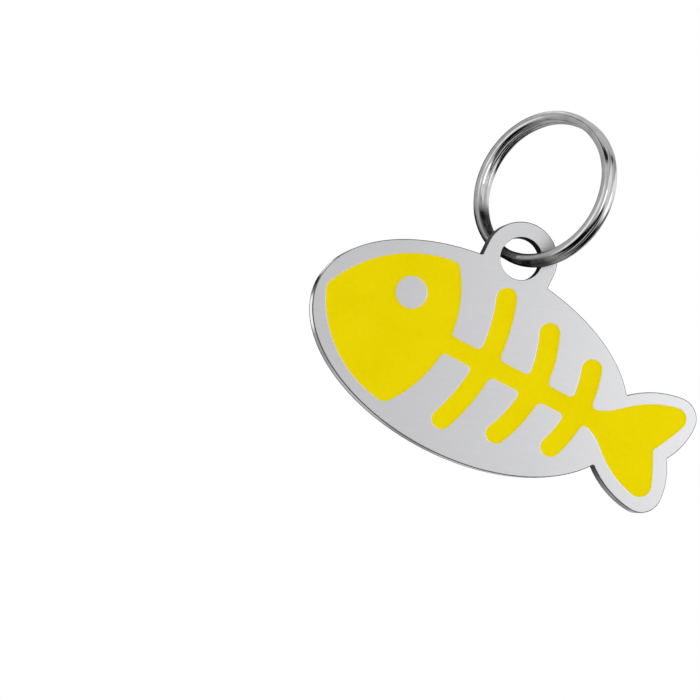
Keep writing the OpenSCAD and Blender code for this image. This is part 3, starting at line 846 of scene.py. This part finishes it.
studio = {
    "floorDrop": 300.0, "floorSize": 6000.0, "floorTone": 0.85, "floorRough": 0.7, "floorGlow": 0.47,
    "camera": (-86.37, -449.15, -80.17),
    "towards": (0.1623, 0.9799, 0.1159), "upwards": (-0.356, -0.0514, 0.9331),
    "lens": 257.14, "sensor": 36.0, "clip": (10.0, 20000.0), "background": 1.0,
    # What a mirror shows at each of its tilts, right and up as the camera sees them: a first tone, and soft
    # oval cards laid over it in turn, each with its tone, middle, half sizes, turn in degrees and softness.
    "tone": 0.56,
    "cards": [
        {"tone": 0.17, "at": (0.1, -1.0), "half": (1.3, 0.8), "turn": 0, "soft": 0.12},
        {"tone": 0.34, "at": (-0.25, -0.75), "half": (0.3, 0.45), "turn": 0, "soft": 0.3},
        {"tone": 0.42, "at": (-0.8, -0.15), "half": (0.36, 0.62), "turn": 0, "soft": 0.3},
        {"tone": 1.4, "at": (-0.47, 0.8), "half": (0.12, 0.22), "turn": 25, "soft": 0.4},
        {"tone": 1.1, "at": (-0.35, 0.17), "half": (0.21, 0.15), "turn": 30, "soft": 0.35},
        {"tone": 0.92, "at": (0.54, 0.05), "half": (0.45, 0.27), "turn": 6, "soft": 0.35},
        {"tone": 0.0, "at": (-0.02, -0.28), "half": (0.32, 0.17), "turn": 10, "soft": 0.3},
        {"tone": 0.01, "at": (0.56, -0.4), "half": (0.62, 0.12), "turn": 6, "soft": 0.3},
        {"tone": 0.02, "at": (-0.08, 0.46), "half": (0.46, 0.045), "turn": 4, "soft": 0.5},
        {"tone": 0.28, "at": (0.66, 0.37), "half": (0.36, 0.06), "turn": 12, "soft": 0.5},
        {"tone": 0.01, "at": (0.42, -0.5), "half": (0.4, 0.17), "turn": 40, "soft": 0.3},
        {"tone": 0.62, "at": (0.6, -0.58), "half": (0.36, 0.05), "turn": 45, "soft": 0.4},
        {"tone": 0.0, "at": (0.84, -0.55), "half": (0.5, 0.1), "turn": 57, "soft": 0.5},
        {"tone": 0.0, "at": (-0.66, 0.66), "half": (0.5, 0.11), "turn": 45, "soft": 0.5},
        {"tone": 0.9, "at": (-0.74, 0.74), "half": (0.5, 0.07), "turn": 45, "soft": 0.2},
        {"tone": 1.2, "at": (-1.0, 0.0), "half": (0.05, 0.5), "turn": 0, "soft": 0.3},
        {"tone": 0.6, "at": (-0.72, -0.72), "half": (0.42, 0.06), "turn": -45, "soft": 0.3},
        {"tone": 0.6, "at": (-0.05, -1.01), "half": (0.55, 0.08), "turn": 0, "soft": 0.3},
        {"tone": 0.6, "at": (0.57, -0.81), "half": (0.24, 0.08), "turn": 37, "soft": 0.3},
    ],
    # Lamps: the way to them as the camera sees it, how far off and aside, and whether metal shows them.
    "lamps": {
        "softKey": {"way": (0.84, 0.16, 0.52), "far": 700.0, "aside": 0.0,
                    "size": 460.0, "power": 2.1, "shows": False},
        "sheen": {"way": (0.378, 0.10, 0.92), "far": 150.0, "aside": 74.0,
                  "size": 100.0, "power": 0.03, "shows": True},
    },
}


def viewTurn():
    # columns: right = towards x upwards, up = right x towards, and back = -towards, each of length 1
    towards = np.array(studio["towards"]) / np.linalg.norm(studio["towards"])
    right = np.cross(towards, studio["upwards"])
    right /= np.linalg.norm(right)
    return np.column_stack([right, np.cross(right, towards), -towards])


def makeFloor():
    # a pale square in the plane z = -drop, with a glow that the camera alone sees
    half, z = studio["floorSize"] / 2, -studio["floorDrop"]
    corners = [[-half, -half, z], [half, -half, z], [half, half, z], [-half, half, z]]
    mesh = bpy.data.meshes.new("floor")
    mesh.from_pydata(metres(corners).tolist(), [], [[0, 1, 2, 3]])
    material = bpy.data.materials.new("paleFloor")
    material.use_nodes = True
    tree = material.node_tree
    path = nodeIn(tree, "ShaderNodeLightPath")
    glow = mathIn(tree, "MULTIPLY", (path, "Is Camera Ray"), studio["floorGlow"], label="for the camera only")
    setAndLink(tree, tree.nodes["Principled BSDF"], {
        "Base Color": (*[studio["floorTone"]] * 3, 1), "Roughness": studio["floorRough"],
        "Emission Color": (1.0, 1.0, 1.0, 1.0), "Emission Strength": glow})
    mesh.materials.append(material)
    floor = bpy.data.objects.new("floor", mesh)
    bpy.context.scene.collection.objects.link(floor)
    floor.visible_glossy = False  # the tent's lower half is what the metal shows


def makeCardGroup():
    # tone over under, where |turned (tilt - at) / half| passes from 1 + soft to 1 - soft
    group, given, out = effectGroup("tentCard", {
        "Tilt": ("vector", None), "Under": ("value", 0.5), "Tone": ("value", 1.0), "At": ("vector", None),
        "Half": ("vector", None), "Turn": ("value", 0.0), "Soft": ("value", 0.3)}, {"Tone": "value"})
    moved = vectorIn(group, "SUBTRACT", (given, "Tilt"), (given, "At"))
    turned = nodeIn(group, "ShaderNodeVectorRotate", "", {
        "Vector": moved, "Angle": (given, "Turn")}, rotation_type="Z_AXIS")
    sized = vectorIn(group, "DIVIDE", (turned, "Vector"), (given, "Half"))
    far = vectorIn(group, "LENGTH", sized, gives="Value")
    inner = mathIn(group, "SUBTRACT", 1.0, (given, "Soft"))
    outer = mathIn(group, "ADD", 1.0, (given, "Soft"))
    mask = spanIn(group, "soft edge", far, (inner, outer), (1.0, 0.0), interpolation_type="SMOOTHSTEP")
    laid = nodeIn(group, "ShaderNodeMix", "laid over", {
        0: mask, 2: (given, "Under"), 3: (given, "Tone")}, data_type="FLOAT")
    setAndLink(group, out, {"Tone": (laid, "Result")})
    return group


def makeStudioLight():
    # a tent of plain tones. A mirror of normal n = (w + back) / |w + back| shows the camera the way w, so the
    # cards lie by (n . right, n . up); the camera itself sees white
    world = bpy.data.worlds.new("lightTent")
    bpy.context.scene.world = world
    world.use_nodes = True
    tree = world.node_tree
    tree.nodes.clear()
    right, up, back = (tuple(axis) for axis in viewTurn().T)
    way = nodeIn(tree, "ShaderNodeTexCoord")
    between = vectorIn(tree, "ADD", (way, "Generated"), back, label="between both ways")
    mirror = vectorIn(tree, "NORMALIZE", between, label="the mirror's own normal")
    tilt = nodeIn(tree, "ShaderNodeCombineXYZ", "its tilt", {
        "X": vectorIn(tree, "DOT_PRODUCT", mirror, right, gives="Value"),
        "Y": vectorIn(tree, "DOT_PRODUCT", mirror, up, gives="Value")})
    group, tone = makeCardGroup(), studio["tone"]
    for card in studio["cards"]:
        laid = nodeIn(tree, "ShaderNodeGroup", "card", {
            "Tilt": (tilt, "Vector"), "Under": tone, "Tone": card["tone"], "At": (*card["at"], 0.0),
            "Half": (*card["half"], 1.0), "Turn": -np.radians(card["turn"]),
            "Soft": card["soft"]}, node_tree=group)
        tone = (laid, "Tone")
    tent = nodeIn(tree, "ShaderNodeBackground", "tent", {"Color": tone})
    white = (*[studio["background"]] * 3, 1)
    plain = nodeIn(tree, "ShaderNodeBackground", "plain white", {"Color": white})
    path = nodeIn(tree, "ShaderNodeLightPath")
    either = nodeIn(tree, "ShaderNodeMixShader", "", {
        0: (path, "Is Camera Ray"), 1: (tent, "Background"), 2: (plain, "Background")})
    nodeIn(tree, "ShaderNodeOutputWorld", "", {"Surface": (either, "Shader")})


def makeLamp(name, lamp):
    # the plate's middle + far * way + aside * right; it faces that middle
    middle = hang([plate["tailLength"] / 2, frontY, 0]) * perMetre
    out = viewTurn() @ (np.array(lamp["way"]) * lamp["far"] + [lamp["aside"], 0, 0])
    light = bpy.data.lights.new(name, "AREA")
    light.shape, light.size, light.energy = "DISK", lamp["size"] * millimetre, lamp["power"]
    made = bpy.data.objects.new(name, light)
    facing = Vector(out).to_track_quat("Z", "Y").to_matrix().to_4x4()
    made.matrix_world = Matrix.Translation(metres(middle + out).tolist()) @ facing
    made.visible_camera, made.visible_glossy = False, lamp["shows"]
    bpy.context.scene.collection.objects.link(made)


def makeCamera():
    # the view's turn in the upper left of the matrix, the camera's place in its last column
    data = bpy.data.cameras.new("camera")
    data.lens, data.sensor_width, data.sensor_fit = studio["lens"], studio["sensor"], "HORIZONTAL"
    data.clip_start, data.clip_end = metres(studio["clip"])
    camera = bpy.data.objects.new("camera", data)
    place = np.eye(4)
    place[:3, :3], place[:3, 3] = viewTurn(), metres(studio["camera"])
    camera.matrix_world = Matrix(place.tolist())
    bpy.context.scene.collection.objects.link(camera)
    bpy.context.scene.camera = camera


makeFloor()
makeStudioLight()
for lampName, lamp in studio["lamps"].items():
    makeLamp(lampName, lamp)
makeCamera()
bpy.context.scene.view_settings.view_transform = "Standard"
print("floor, light and camera are set")
